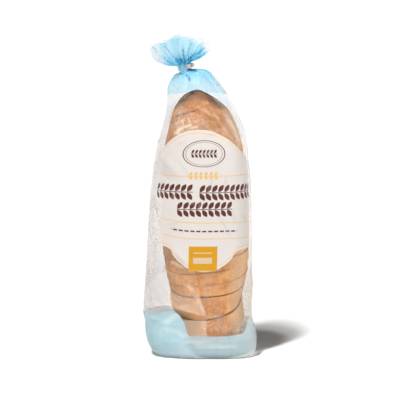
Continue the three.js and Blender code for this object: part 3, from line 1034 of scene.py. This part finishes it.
def film_material(settings):
    """Clear film with a haze, a label and blue ends, whose alpha is what they hide."""
    material, graph, shader = new_material("printed film")
    film = film_marks(graph)
    above_top = graph.minus(film.up, graph.curve(film.across, TOP_PRINT_EDGE))
    top = graph.ramp(above_top, -0.0012, 0.0016)
    above_base = graph.minus(film.up, graph.curve(film.across, BASE_PRINT_EDGE))
    softness = graph.ramp(film.across, -0.03, -0.022, 0.005, 0.0008)
    base = graph.ramp(graph.math("DIVIDE", above_base, softness), -1.0, 1.0, 1.0, 0.0)
    second_layer = light_streak(graph, film.across, film.up, *SECOND_LAYER)

    colour, cover = clear_film(graph, settings, film)
    base_colour, base_cover = base_film(graph, settings, film)
    top_colour, top_cover = gathered_film(graph, settings, film)
    label_colour, label = film_print(graph, settings, film.across, film.up)
    # Painted shade along the label's creases.
    label_colour = graph.mix(graph.times(film.crease, 0.3), label_colour, opaque(settings.label_crease_shade))
    colour = graph.mix(base, colour, base_colour)
    colour = graph.mix(graph.times(second_layer, 0.8), colour, opaque(settings.pale_ink))
    colour = graph.mix(top, colour, top_colour)
    colour = graph.mix(label, colour, label_colour)
    cover = graph.plus(cover, graph.times(second_layer, 0.34))
    for mask, hidden in ((base, base_cover), (top, top_cover), (label, settings.label_cover)):
        cover = graph.over(mask, cover, hidden)

    graph.feed(shader.inputs["Base Color"], colour)
    graph.feed(shader.inputs["Alpha"], graph.least(cover, 1.0))
    shader.inputs["Roughness"].default_value = 0.4
    shader.inputs["Specular IOR Level"].default_value = 0.25
    shader.inputs["IOR"].default_value = 1.5
    add_relief(graph, shader, graph.plus(film.streaky, graph.times(film.crinkle, 0.5)), 0.35, 0.002)
    return material


def dark_upper_end(graph, settings, colour, across, height, patches, mottle):
    """Browns the crust below the loaf's upper edge, and darkens the edge itself with its dark crust and
    painted shade along the edge.
    """
    below = graph.minus(graph.curve(across, LOAF_OUTLINE), height)
    below = graph.plus(below, graph.sway(mottle, 0.012))
    high_up = graph.ramp(graph.plus(height, graph.sway(patches, 0.01)), 0.26, 0.266)
    # A band along the upper edge as the front shows it: dark crust and painted shade, wider at the sides.
    band = graph.ramp(graph.math("ABSOLUTE", graph.plus(across, 0.0018)), 0.004, 0.014, 0.0012, 0.0056)
    heel_and_edge_shade = graph.times(graph.ramp(graph.math("DIVIDE", below, band), 0.7, 1.4, 1.0, 0.0), high_up)
    heel_and_edge_shade = graph.times(heel_and_edge_shade, graph.ramp(across, 0.0, 0.01, 1.0, 0.6))
    crown = graph.times(graph.ramp(below, 0.006, 0.02, 0.85, 0.0), high_up)
    colour = graph.mix(crown, colour, opaque(settings.crown))
    return graph.mix(heel_and_edge_shade, colour, opaque(settings.heel_and_edge_shade))


def crack_shade_mask(graph, across, height, mottle):
    """Mask of the painted shade in the thin crack near the upper end."""
    along = graph.plus(CRACK_SHADE["height"], graph.times(across, CRACK_SHADE["rise"]))
    off = graph.math("ABSOLUTE", graph.plus(graph.minus(height, along), graph.sway(mottle, 0.0045)))
    ends = graph.times(
        graph.ramp(across, CRACK_SHADE["start"], CRACK_SHADE["start"] + 0.004),
        graph.ramp(across, CRACK_SHADE["end"] - 0.01, CRACK_SHADE["end"], 1.0, 0.0))
    return graph.times(graph.ramp(off, 0.0007, 0.0016, 1.0, 0.0), ends)


def bread_crust_material(settings):
    """Mottled, crackled crust, with painted light paling its right side, and a dark upper end that is
    partly painted shade.
    """
    material, graph, shader = new_material("baked crust")
    where, place = object_place(graph)
    across, height = place["X"], place["Z"]
    patches = graph.noise(where, 26.0, 4.0, 0.6)
    mottle = graph.noise(where, 170.0, 5.0, 0.65)
    crackled = graph.noise(where, 420.0, 5.0, 0.7, 1.5)
    grain = graph.noise(where, 900.0, 2.0, 0.5)
    baked = graph.ramp(graph.plus(patches, graph.sway(mottle, 0.8)), 0.4, 0.66)
    # Darker by height: partly baked colour, partly painted shade at the upper end.
    baked = graph.plus(baked, graph.curve(height, BAKED_AND_SHADED_LEVELS))
    golden = graph.ramp(graph.noise(where, 75.0, 4.0, 0.6), 0.52, 0.66, 0.0, 0.55)
    amber = graph.plus(ellipse_distance(graph, across, height, **AMBER), graph.sway(mottle, 1.2))

    colour = graph.mix(baked, opaque(settings.crust), opaque(settings.crust_dark))
    colour = graph.mix(graph.ramp(crackled, 0.5, 0.66), colour, shaded(settings.crust, 1.25))
    colour = graph.mix(
        graph.ramp(crackled, 0.32, 0.44, 0.4, 0.0), colour, shaded(settings.crust_dark, 0.7))
    # Painted light on the right side of the crust.
    colour = graph.mix(graph.ramp(across, 0.024, 0.044, 0.0, 0.8), colour, opaque(settings.side_crust_light))
    colour = dark_upper_end(graph, settings, colour, across, height, patches, mottle)
    colour = graph.mix(crack_shade_mask(graph, across, height, mottle), colour, opaque(settings.crack))
    colour = graph.mix(golden, colour, opaque(settings.golden))
    colour = graph.mix(graph.ramp(amber, 0.75, 1.15, 0.95, 0.0), colour, opaque(settings.amber))
    graph.feed(shader.inputs["Base Color"], colour)
    graph.feed(shader.inputs["Roughness"], graph.ramp(mottle, 0.3, 0.7, 0.62, 0.8))
    fine = graph.plus(graph.times(grain, 0.3), graph.times(crackled, 0.4))
    add_relief(graph, shader, graph.plus(graph.times(mottle, 0.7), fine), 0.5, 0.0008)
    return material


def bread_crumb_material(settings):
    """Pale porous crumb with painted shade in its pores, and a browned rim along the loaf's section."""
    material, graph, shader = new_material("bread crumb")
    where, place = object_place(graph)
    pores = graph.add("ShaderNodeTexVoronoi", Vector=where, Scale=420.0).outputs["Distance"]
    clouds = graph.noise(where, 60.0, 4.0)
    # Painted shade in the pores.
    pore_shade = graph.times(graph.ramp(pores, 0.12, 0.4, 1.0, 0.0), graph.ramp(clouds, 0.35, 0.65))
    colour = graph.mix(pore_shade, opaque(settings.crumb), shaded(settings.crumb, 0.78))
    left, right, depth = (
        graph.curve(place["Z"], [(level["z"], level[side]) for level in LOAF_LEVELS])
        for side in ("left", "right", "depth"))
    middle = graph.times(graph.plus(left, right), 0.5)
    width = graph.times(graph.minus(right, left), 0.5)
    x = graph.math("DIVIDE", graph.apart(place["X"], middle), width)
    y = graph.math("DIVIDE", graph.math("ABSOLUTE", place["Y"]), depth)
    outness = graph.plus(graph.math("POWER", x, 2.4), graph.math("POWER", y, 2.4))
    colour = graph.mix(graph.ramp(outness, 0.7, 0.8), colour, opaque(settings.crust))
    graph.feed(shader.inputs["Base Color"], colour)
    shader.inputs["Roughness"].default_value = 0.9
    add_relief(graph, shader, graph.ramp(pores, 0.0, 0.45), 0.6, 0.001)
    return material


def tie_material(settings):
    """Slightly mottled strip."""
    material, graph, shader = new_material("tie strip")
    where = graph.add("ShaderNodeTexCoord").outputs["Object"]
    mottle = graph.noise(where, 500.0, 3.0)
    colour = graph.mix(
        graph.ramp(mottle, 0.35, 0.7), opaque(settings.colour), shaded(settings.colour, 0.82))
    graph.feed(shader.inputs["Base Color"], colour)
    shader.inputs["Roughness"].default_value = 0.5
    add_relief(graph, shader, mottle, 0.3, 0.0003)
    return material


def all_creases():
    """Laid creases, folds down from the neck, and drawn creases of the loose film."""
    creases = [(*start, *end, width, height) for start, end, width, height in LAID_CREASES]
    for across, down, width, height in SHOULDER_CREASES:
        creases.append((across * 0.9, NECK_RUN + 0.004, across, NECK_RUN - down, width, height))
    draw = random.Random(8)
    for _ in range(LOOSE_CREASES):
        across, up = draw.uniform(-0.15, 0.15), draw.uniform(0.03, 0.265)
        on_label = -0.036 < across < 0.046 and 0.125 < up < 0.235
        turn = math.radians(draw.choice((90, 90, 60, 120, 20, 160)) + draw.uniform(-14, 14))
        length = draw.uniform(0.012, 0.04)
        height = draw.uniform(0.0004, 0.0011) * (0.25 if on_label else 1.0) * draw.choice((1, 1, -1))
        creases.append((
            across, up, across + length * math.cos(turn), up + length * math.sin(turn),
            draw.uniform(0.0028, 0.0055), height))
    return creases


def crease_field(across, up):
    """Height of the sheet's creases and how sharply it is folded, at places on the sheet."""
    height, sharp = np.zeros_like(up), np.zeros_like(up)
    for x0, y0, x1, y1, width, rise in all_creases():
        dx, dy = x1 - x0, y1 - y0
        along = np.clip(((across - x0) * dx + (up - y0) * dy) / (dx * dx + dy * dy), 0.0, 1.0)
        gap = np.hypot(across - x0 - along * dx, up - y0 - along * dy)
        near = np.maximum(0.0, 1.0 - gap / width) * np.sqrt(np.maximum(0.0, 4.0 * along * (1.0 - along)))
        height += rise * near**1.5
        sharp = np.maximum(sharp, near**3)
    return height, sharp


def across_the_sheet(angles):
    """Place across the flat sheet at each angle, from the middle of the front."""
    girth = body_ring(angles, GIRTH_HEIGHT)
    length = np.concatenate([[0.0], np.cumsum(np.linalg.norm(np.diff(girth, axis=0), axis=1))])
    return length - length[FILM_SIDES // 2]


def crumpled(points, across, runs, wrinkle):
    """The film's points with its creases and wrinkles, and how sharply it is creased."""
    outwards = np.cross(np.gradient(points, axis=1), np.gradient(points, axis=0))
    outwards /= np.maximum(np.linalg.norm(outwards, axis=2, keepdims=True), 1e-9)
    height, sharp = crease_field(across[None, :], runs)
    # Nothing is raised on the floor or in the neck.
    loose = smooth(runs, 0.003, 0.012) * (1.0 - smooth(runs, 0.299, 0.304))
    sway = np.array([
        [noise.noise(Vector((place * 30.0, run * 8.0, 1.7))) for place in across]
        for run in runs.mean(axis=1)])
    rise = np.clip(height, -CREASE_LIMIT, CREASE_LIMIT) + wrinkle * np.clip(sway, 0.0, 1.0)
    return points + outwards * (rise * loose)[:, :, None], sharp * loose


def neck_pleats(angles, runs):
    """How deep the valleys and how sharp the ridges of the pleats are at each place."""
    valleys, ridges = np.zeros_like(runs), np.zeros_like(runs)
    wave = pleat_wave(angles)
    for i in range(len(runs)):
        share = (runs[i].mean() - RUFFLE_RUN) / RUFFLE_LENGTH
        share = share if share <= 1.0 else 2.0 - share
        if share > 0.0:
            valleys[i] = ruffle_depth(angles, share) / FULL_CREASE
        valleys[i] += 0.45 * smooth(-wave, 0.3, 1.0) * float(smooth(share, -0.22, -0.02))
        ridges[i] = smooth(wave, 0.45, 0.95) * float(smooth(share, 0.0, 0.25))
    return valleys, ridges


class BREADBAG_OT_add_film(bpy.types.Operator):
    """Wraps a flat printed sheet round the loaf, shuts it below and gathers it above"""

    bl_idname = "breadbag.add_film"
    bl_label = "Add film"

    def execute(self, context):
        settings = context.scene.bread_bag_film
        angles = np.linspace(-math.pi, math.pi, FILM_SIDES + 1) - math.pi / 2
        rings = film_rings(angles)
        last = len(rings) - 1
        bpy.ops.object.select_all(action="DESELECT")
        bpy.ops.mesh.primitive_grid_add(
            x_subdivisions=FILM_SIDES, y_subdivisions=last, size=2, calc_uvs=True)
        film = context.object
        film.name = film.data.name = "film"
        flat = vertex_points(film)
        column = np.rint((flat[:, 0] + 1) / 2 * FILM_SIDES).astype(int)
        row = np.rint((flat[:, 1] + 1) / 2 * last).astype(int)

        points = np.stack([ring for ring, run in rings])
        runs = np.stack([np.broadcast_to(run, angles.shape) for ring, run in rings])
        points[:, :, 0] += FILM_SHIFT
        across = across_the_sheet(angles)
        points, sharp = crumpled(points, across, runs, settings.wrinkle)
        valleys, ridges = neck_pleats(angles, runs)
        crease = np.clip(np.maximum(sharp, valleys), 0.0, 1.0)
        points[:, -1] = points[:, 0]
        place_vertices(film, points[row, column])

        loops = np.zeros(len(film.data.loops), np.int32)
        film.data.loops.foreach_get("vertex_index", loops)
        sheet = np.stack([across[column[loops]], runs[row[loops], column[loops]]], axis=1)
        uv = film.data.uv_layers.active
        uv.name = "print"
        uv.data.foreach_set("uv", sheet.astype(np.float32).ravel())
        mark_vertices(film, "crease", crease[row, column])
        mark_vertices(film, "ridge", ridges[row, column])
        closed_up(film)
        film.data.materials.append(film_material(settings))
        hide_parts("bag")
        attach(film, "root")
        return {"FINISHED"}


class BREADBAG_OT_add_neck_fold(bpy.types.Operator):
    """Lays a loose fold of the film over the front of the tie"""

    bl_idname = "breadbag.add_neck_fold"
    bl_label = "Add neck fold"

    sheet_place = (-0.01, NECK_RUN - 0.019)

    def execute(self, context):
        bpy.ops.object.select_all(action="DESELECT")
        bpy.ops.mesh.primitive_uv_sphere_add(segments=48, ring_count=40, radius=1, calc_uvs=True)
        fold = context.object
        fold.name = fold.data.name = "neck_fold"
        ball = vertex_points(fold)
        points = np.zeros_like(ball)
        for i, (x, y, z) in enumerate(ball):
            share = (1.0 - z) / 2.0
            here, there = between(NECK_FOLD, share), between(NECK_FOLD, share + 0.01)
            place = Vector((here["x"], here["y"], here["z"]))
            along = (Vector((there["x"], there["y"], there["z"])) - place).normalized()
            aside = along.cross(Vector((0.0, 1.0, 0.0))).normalized()
            ripple = 1.0 + 0.35 * math.cos(3.0 * math.pi * x)
            points[i] = place + aside * x * here["width"] + aside.cross(along) * y * here["depth"] * ripple
        place_vertices(fold, points)
        closed_up(fold)
        uv = fold.data.uv_layers.active
        uv.name = "print"
        for loop in uv.data:
            loop.uv = self.sheet_place
        # Fine pleats run slantwise over the fold.
        pleats = [abs(math.sin(1250.0 * x + 420.0 * z)) ** 4 for x, y, z in vertex_points(fold)]
        mark_vertices(fold, "crease", pleats)
        mark_vertices(fold, "ridge", [0.9 * (1.0 - pleat) for pleat in pleats])
        fold.data.materials.append(bpy.data.materials["printed film"])
        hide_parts("bag")
        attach(fold, "root")
        return {"FINISHED"}


def loaf_point(angle, height):
    """A point of the uncut loaf, kept clear of the film."""
    level = at_height(LOAF_CURVE, height)
    from_bottom = max(0.0, 1.0 - (height - LOAF_BOTTOM) / BOTTOM_CAP)
    from_top = max(0.0, 1.0 - (LOAF_TOP - height) / TOP_CAP)
    cap = (1.0 - from_bottom**2.3) ** (1 / 2.3) * (1.0 - from_top**1.8) ** (1 / 1.8)
    middle, width = middle_and_width(level)
    radius = reach(angle, width, level["depth"], level["square"]) * cap
    x, y = middle + radius * math.cos(angle), radius * math.sin(angle)

    film = at_height(BODY_CURVE, height)
    film_middle, film_width = middle_and_width(film)
    film_middle += FILM_SHIFT
    seen = math.atan2(y, x - film_middle)
    room = float(reach(seen, film_width, film["depth"], film["square"])) - LOAF_CLEARANCE
    taken = math.hypot(x - film_middle, y)
    if taken > room:
        x, y = film_middle + (x - film_middle) * room / taken, y * room / taken
    return Vector((x, y, height))


def seam_planes(slice_height):
    """Cuts between the slices, from below, each as the low seams are given."""
    seams = list(LOW_SEAMS)
    draw = random.Random(11)
    height = seams[-1][0]
    count = round((TOP_SEAM - height) / slice_height)
    step = (TOP_SEAM - height) / count
    for i in range(1, count + 1):
        share = i / count
        rise = 0.05 + 0.2 * float(smooth(share, 0.7, 1.0)) + draw.uniform(-0.012, 0.012)
        back = 0.15 - 0.09 * float(smooth(share, 0.0, 0.6))
        seams.append((height + i * step, rise, back, 0.0, 0.0))
    return seams


def cut(piece, at, normal, keep_above):
    """Cuts the piece by a plane and closes the cut."""
    select_only(piece)
    bpy.ops.object.mode_set(mode="EDIT")
    bpy.ops.mesh.select_all(action="SELECT")
    bpy.ops.mesh.bisect(
        plane_co=at, plane_no=normal, use_fill=True, clear_inner=keep_above, clear_outer=not keep_above)
    bpy.ops.object.mode_set(mode="OBJECT")


class BREADBAG_OT_add_slices(bpy.types.Operator):
    """Shapes one whole loaf and cuts it into slices that have slipped a little"""

    bl_idname = "breadbag.add_slices"
    bl_label = "Add slices"

    segments = 128
    rings = 150

    def whole_loaf(self):
        """Shapes the uncut loaf, with a slight relief."""
        bpy.ops.object.select_all(action="DESELECT")
        bpy.ops.mesh.primitive_uv_sphere_add(segments=self.segments, ring_count=self.rings, radius=1)
        loaf = bpy.context.object
        loaf.name = "whole_loaf"
        ball = vertex_points(loaf)
        points = np.zeros_like(ball)
        for i, (x, y, z) in enumerate(ball):
            height = LOAF_BOTTOM + (LOAF_TOP - LOAF_BOTTOM) * (1.0 + z) / 2.0
            point = loaf_point(math.atan2(y, x), height)
            relief = 0.0011 * noise.noise(point * 28.0) + 0.0004 * noise.noise(point * 90.0) - 0.0008
            points[i] = point + Vector((x, y, 0.0)) * relief
        place_vertices(loaf, points)
        closed_up(loaf)
        return loaf

    def cut_slice(self, loaf, seams, index):
        """Copies the loaf and cuts the copy by the seams below and above it."""
        select_only(loaf)
        bpy.ops.object.duplicate()
        piece = bpy.context.object
        piece.name = piece.data.name = f"slice_{index + 1:02d}"
        cuts = []
        for seam, side in ((index - 1, 0.5), (index, -0.5)):
            if not 0 <= seam < len(seams):
                continue
            height, rise, back, left_gap, right_gap = seams[seam]
            rise += side * (right_gap - left_gap) / GAP_SPAN
            back += side * BACK_GAP / GAP_SPAN
            normal = Vector((-rise, -back, 1.0)).normalized()
            at = LOAF_FRONT + Vector((0.0, 0.0, height + side * (left_gap + right_gap) / 2))
            cut(piece, at, normal, side > 0.0)
            cuts.append((at, normal))
        return piece, cuts

    def finish_cuts(self, piece, cuts):
        """Gives the cut faces the crumb, flat, with a sharp rim."""
        rims = set()
        for face in piece.data.polygons:
            flat = any(
                abs((face.center - at).dot(normal)) < 1e-5 and abs(face.normal.dot(normal)) > 0.99
                for at, normal in cuts)
            face.material_index = 1 if flat else 0
            face.use_smooth = not flat
            if flat:
                rims.update(face.edge_keys)
        for edge in piece.data.edges:
            edge.use_edge_sharp = edge.key in rims

    def slip(self, piece, draw):
        """Turns and shifts a slice a little, the lower ones more."""
        middle = sum((vertex.co for vertex in piece.data.vertices), Vector()) / len(piece.data.vertices)
        wobble = 1.0 if middle.z < 0.15 else 0.15
        yaw = Matrix.Rotation(math.radians(wobble * draw.uniform(-1.6, 1.6)), 4, "Z")
        shift = wobble * Vector((draw.uniform(-0.0009, 0.0009), draw.uniform(-0.0005, 0.0005), 0.0))
        piece.data.transform(Matrix.Translation(middle + shift) @ yaw @ Matrix.Translation(-middle))

    def execute(self, context):
        settings = context.scene.bread_bag_loaf
        loaf = self.whole_loaf()
        loaf.data.materials.append(bread_crust_material(settings))
        loaf.data.materials.append(bread_crumb_material(settings))
        seams = seam_planes(settings.slice_height)
        draw = random.Random(4)
        for index in range(len(seams) + 1):
            piece, cuts = self.cut_slice(loaf, seams, index)
            self.finish_cuts(piece, cuts)
            self.slip(piece, draw)
            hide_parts("bag")
            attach(piece, "root")
        bpy.data.objects.remove(loaf)
        return {"FINISHED"}


class BREADBAG_OT_add_tie(bpy.types.Operator):
    """Gives the tie its finish"""

    bl_idname = "breadbag.add_tie"
    bl_label = "Add tie"

    def execute(self, context):
        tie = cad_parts["tie"]
        tie.data.materials.clear()
        tie.data.materials.append(tie_material(context.scene.bread_bag_tie))
        return {"FINISHED"}


class BREADBAG_OT_add_stage(bpy.types.Operator):
    """Sets the pale floor, the lights and the camera"""

    bl_idname = "breadbag.add_stage"
    bl_label = "Add stage"

    # The camera: its downward tilt, where it aims, its sensor, and the photograph's pixels, each
    # of which spans pixel_size at the bag.
    pitch = math.radians(7.0)
    aim = Vector((0.0, 0.0, 0.165))
    sensor = 0.036
    pixels = 400
    pixel_size = 0.00107
    view_reach = 100.0
    # The key light's parts stand at these heights in degrees, turned to the left of the front.
    key_heights = (58.0, 60.5, 63.5, 68.5)
    key_turn = math.radians(35.0)
    key_distance = 3.0
    side_place = Vector((1.5, -1.3, 0.52))
    side_size = 0.9
    floor_size = 60.0
    backdrop = 1.05
    layers_seen_through = 24

    def add_floor(self, settings):
        """A wide pale floor."""
        bpy.ops.object.select_all(action="DESELECT")
        bpy.ops.mesh.primitive_plane_add(size=self.floor_size)
        floor = bpy.context.object
        floor.name = "floor"
        paper, _, shader = new_material("pale floor")
        shader.inputs["Base Color"].default_value = opaque(settings.floor)
        shader.inputs["Roughness"].default_value = 0.9
        floor.data.materials.append(paper)

    def add_camera(self, settings):
        """A camera that looks slightly down, with the bag at the photograph's size."""
        towards = Vector((0.0, math.cos(self.pitch), -math.sin(self.pitch)))
        place = self.aim - towards * settings.distance
        turn = towards.to_track_quat("-Z", "Y").to_euler()
        bpy.ops.object.camera_add(location=place, rotation=turn)
        camera = bpy.context.object
        camera.data.sensor_width = self.sensor * 1000
        camera.data.lens = settings.distance / (self.pixels * self.pixel_size) * self.sensor * 1000
        camera.data.clip_end = self.view_reach
        bpy.context.scene.camera = camera

    def add_lights(self, settings):
        """A tall narrow key light, in parts that fade the shadow's far end, and a soft side light."""
        for height in self.key_heights:
            level, rise = math.cos(math.radians(height)), math.sin(math.radians(height))
            key_from = Vector((-level * math.sin(self.key_turn), -level * math.cos(self.key_turn), rise))
            bpy.ops.object.light_add(type="SUN", location=key_from * self.key_distance)
            key = bpy.context.object
            key.name = "key"
            key.rotation_euler = (-key_from).to_track_quat("-Z", "Y").to_euler()
            key.data.angle = settings.key_softness
            key.data.energy = settings.key_strength / len(self.key_heights)

        bpy.ops.object.light_add(type="AREA", location=self.side_place)
        side = bpy.context.object
        side.name = "side"
        side.rotation_euler = (self.aim - self.side_place).to_track_quat("-Z", "Y").to_euler()
        side.data.size = self.side_size
        side.data.energy = settings.side_strength
        side.visible_camera = False

    def add_backdrop(self, settings):
        """A white backdrop that lights the scene only faintly."""
        world = bpy.data.worlds.new("studio")
        world.use_nodes = True
        graph = Graph(world.node_tree)
        background = world.node_tree.nodes["Background"]
        seen = graph.add("ShaderNodeLightPath").outputs["Is Camera Ray"]
        background.inputs["Color"].default_value = (1.0, 1.0, 1.0, 1.0)
        graph.feed(background.inputs["Strength"], graph.ramp(seen, 0.0, 1.0, settings.fill, self.backdrop))
        bpy.context.scene.world = world

    def execute(self, context):
        settings = context.scene.bread_bag_stage
        self.add_floor(settings)
        self.add_camera(settings)
        self.add_lights(settings)
        self.add_backdrop(settings)
        context.scene.view_settings.view_transform = "Standard"
        context.scene.cycles.transparent_max_bounces = self.layers_seen_through
        return {"FINISHED"}


class BREADBAG_PT_panel(bpy.types.Panel):
    """Lists the loaf's pieces and their settings"""

    bl_label = "Loaf in bread bag"
    bl_idname = "BREADBAG_PT_panel"
    bl_space_type = "VIEW_3D"
    bl_region_type = "UI"
    bl_category = "Bread"

    def draw(self, context):
        for group, operator in PANEL_ROWS:
            box = self.layout.box()
            settings = getattr(context.scene, group)
            for name in settings.__annotations__:
                box.prop(settings, name)
            box.operator(operator)


SETTINGS = {
    "bread_bag_film": FilmSettings,
    "bread_bag_loaf": LoafSettings,
    "bread_bag_tie": TieSettings,
    "bread_bag_stage": StageSettings,
}
PANEL_ROWS = (
    ("bread_bag_film", "breadbag.add_film"),
    ("bread_bag_film", "breadbag.add_neck_fold"),
    ("bread_bag_loaf", "breadbag.add_slices"),
    ("bread_bag_tie", "breadbag.add_tie"),
    ("bread_bag_stage", "breadbag.add_stage"),
)
CLASSES = (
    *SETTINGS.values(),
    BREADBAG_OT_add_film,
    BREADBAG_OT_add_neck_fold,
    BREADBAG_OT_add_slices,
    BREADBAG_OT_add_tie,
    BREADBAG_OT_add_stage,
    BREADBAG_PT_panel,
)


def register():
    """Tells Blender of the classes and gives the scene their settings."""
    for each in CLASSES:
        bpy.utils.register_class(each)
    for name, group in SETTINGS.items():
        setattr(bpy.types.Scene, name, bpy.props.PointerProperty(type=group))


def unregister():
    """Takes the classes and the settings out of Blender."""
    for name in SETTINGS:
        delattr(bpy.types.Scene, name)
    for each in reversed(CLASSES):
        bpy.utils.unregister_class(each)


def main():
    """Makes the loaf, the film, the tie and the stage."""
    register()
    bpy.ops.breadbag.add_slices()
    bpy.ops.breadbag.add_film()
    bpy.ops.breadbag.add_neck_fold()
    bpy.ops.breadbag.add_tie()
    bpy.ops.breadbag.add_stage()


if __name__ == "__main__":
    main()
